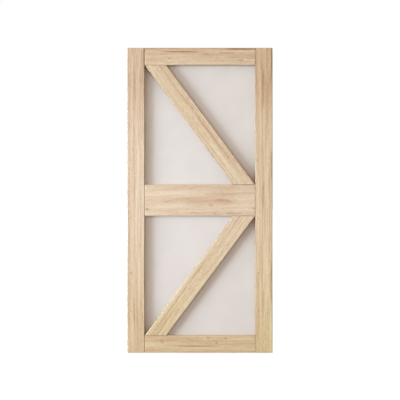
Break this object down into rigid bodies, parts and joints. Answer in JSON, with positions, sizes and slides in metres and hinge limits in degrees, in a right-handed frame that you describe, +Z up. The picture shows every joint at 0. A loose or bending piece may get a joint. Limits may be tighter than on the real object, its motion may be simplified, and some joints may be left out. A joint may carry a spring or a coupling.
{
  "type": "barn door leaf",
  "caption": "Sliding barn door leaf: oak stiles and rails round frosted panes, with diagonal braces meeting at the middle rail on both faces. Hangs from its top edge to close a doorway.",
  "frame": {"origin": "middle of the leaf's top edge, half-way through its thickness", "axes": "+Z up, +X to the right seen from the front, and the front face looks along -Y"},
  "size_m": [1.016, 0.045, 2.134],
  "materials": {
    "light_oak": "sanded matt",
    "frosted_glass": "acid-etched, milky"
  },
  "bodies": {
    "root": {"left_stile": "light_oak", "right_stile": "light_oak", "top_rail": "light_oak", "middle_rail": "light_oak", "bottom_rail": "light_oak", "front_upper_brace": "light_oak", "front_lower_brace": "light_oak", "back_upper_brace": "light_oak", "back_lower_brace": "light_oak", "upper_pane": "frosted_glass", "lower_pane": "frosted_glass"}
  },
  "joints": []
}
